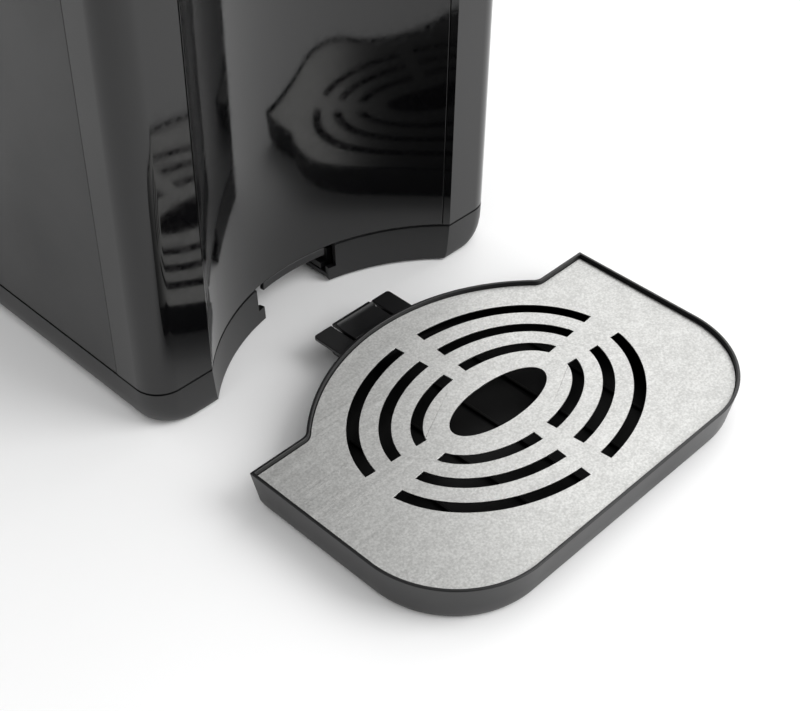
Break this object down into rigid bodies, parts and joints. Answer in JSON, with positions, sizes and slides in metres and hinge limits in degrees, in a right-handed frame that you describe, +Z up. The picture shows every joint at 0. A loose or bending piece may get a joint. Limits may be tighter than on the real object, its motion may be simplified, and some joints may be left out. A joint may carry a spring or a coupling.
{
  "type": "hot water dispenser",
  "caption": "Countertop hot water dispenser with a concave front, overhanging spout head, rear water tank and a pull-out drip tray with a slotted steel plate.",
  "frame": {"origin": "on the table, midway between the pulled-out tray's front edge and the back of the water tank, on the machine's centre line", "axes": "+Z up, +Y from the tray towards the back of the machine, +X to the right of someone facing the back of the machine from the tray"},
  "size_m": [0.18, 0.3404, 0.31],
  "materials": {
    "gloss_black_abs": "high gloss moulded, deep black",
    "satin_black_abs": "fine satin moulding texture",
    "button_plastic": "satin moulded",
    "brushed_steel_plate": "fine one-way brushing",
    "dial_metal": "turned and anodised",
    "smoked_clear_plastic": "clear smoke-tinted plastic",
    "white_nylon": "moulded nylon",
    "silicone": "translucent silicone",
    "rubber": "matt black rubber",
    "plain_steel": "zinc plated steel",
    "cast_aluminium": "die cast",
    "circuit_board": "green solder mask",
    "black_component": "moulded black"
  },
  "bodies": {
    "machine": {"base_housing": "satin_black_abs", "base_screw_front_left": "plain_steel", "base_screw_front_right": "plain_steel", "base_screw_rear_left": "plain_steel", "base_screw_rear_right": "plain_steel", "column_back": "satin_black_abs", "control_board": "circuit_board", "control_panel": "gloss_black_abs", "display_window": "smoked_clear_plastic", "flow_heater": "cast_aluminium", "flow_meter_body": "white_nylon", "flow_meter_cap": "white_nylon", "foot_front_left": "rubber", "foot_front_right": "rubber", "foot_rear_left": "rubber", "foot_rear_right": "rubber", "front_strip_left": "gloss_black_abs", "front_strip_right": "gloss_black_abs", "head_shell": "gloss_black_abs", "head_underside": "satin_black_abs", "heater_clamp_lower": "plain_steel", "heater_clamp_upper": "plain_steel", "inner_frame": "plain_steel", "mains_inlet": "rubber", "outlet_pipe": "silicone", "power_board": "circuit_board", "pressure_hose": "silicone", "pump_body": "white_nylon", "pump_coil": "black_component", "pump_inlet_hose": "silicone", "pump_mount": "rubber", "pump_spring": "plain_steel", "recess_panel": "gloss_black_abs", "side_panel_left": "satin_black_abs", "side_panel_right": "satin_black_abs", "spout_nozzle": "satin_black_abs", "suction_hose": "silicone", "tank_cradle": "satin_black_abs", "tank_port": "white_nylon", "tank_seal": "silicone", "thermal_fuse": "white_nylon", "thermostat": "black_component", "tray_catch": "satin_black_abs", "tray_guide_left": "satin_black_abs", "tray_guide_right": "satin_black_abs"},
    "tray": {"drip_tray": "satin_black_abs"},
    "latch": {"tray_latch": "satin_black_abs"},
    "plate": {"drip_plate": "brushed_steel_plate"},
    "tank": {"water_tank": "smoked_clear_plastic", "tank_strainer": "white_nylon", "tank_valve_spring": "plain_steel", "lid_hinge_pin": "plain_steel"},
    "lid": {"tank_lid": "satin_black_abs"},
    "valve": {"tank_valve": "white_nylon"},
    "power_key": {"power_button": "button_plastic"},
    "start_key": {"start_button": "button_plastic"},
    "lock_key": {"child_lock_button": "button_plastic"},
    "dial": {"amount_dial": "dial_metal"},
    "piston": {"pump_piston": "plain_steel"},
    "impeller": {"flow_impeller": "black_component"}
  },
  "joints": [
    {"name": "tray_slide", "type": "slide", "parent": "machine", "child": "tray", "axis": [0, 1, 0], "range_m": [0, 0.0484]},
    {"name": "latch_flex", "type": "hinge", "parent": "tray", "child": "latch", "pos_m": [0, -0.04485, 0.0109], "axis": [1, 0, 0], "range_deg": [-5, 0], "stiffness_Nm_per_rad": 0.5},
    {"name": "plate_lift", "type": "slide", "parent": "tray", "child": "plate", "axis": [0, 0, 1], "range_m": [0, 0.05]},
    {"name": "tank_lift", "type": "slide", "parent": "machine", "child": "tank", "axis": [0, 0, 1], "range_m": [0, 0.12]},
    {"name": "lid_hinge", "type": "hinge", "parent": "tank", "child": "lid", "pos_m": [0, 0.16555, 0.293], "axis": [-1, 0, 0], "range_deg": [0, 100]},
    {"name": "tank_valve_lift", "type": "slide", "parent": "tank", "child": "valve", "axis": [0, 0, 1], "range_m": [0, 0.003], "stiffness_N_per_m": 100, "deforming": ["tank_valve_spring"]},
    {"name": "power_press", "type": "slide", "parent": "machine", "child": "power_key", "axis": [0, 0, -1], "range_m": [0, 0.0012], "stiffness_N_per_m": 300},
    {"name": "start_press", "type": "slide", "parent": "machine", "child": "start_key", "axis": [0, 0, -1], "range_m": [0, 0.0012], "stiffness_N_per_m": 300},
    {"name": "child_lock_press", "type": "slide", "parent": "machine", "child": "lock_key", "axis": [0, 0, -1], "range_m": [0, 0.0012], "stiffness_N_per_m": 300},
    {"name": "dial_turn", "type": "hinge", "parent": "machine", "child": "dial", "pos_m": [0, 0.01725, 0.298], "axis": [0, 0, -1], "range_deg": [0, 280]},
    {"name": "pump_stroke", "type": "slide", "parent": "machine", "child": "piston", "axis": [1, 0, 0], "range_m": [0, 0.004], "stiffness_N_per_m": 400, "deforming": ["pump_spring"]},
    {"name": "impeller_spin", "type": "hinge", "parent": "machine", "child": "impeller", "pos_m": [-0.045, 0.01925, 0.027], "axis": [0, 0, 1], "continuous": true}
  ]
}
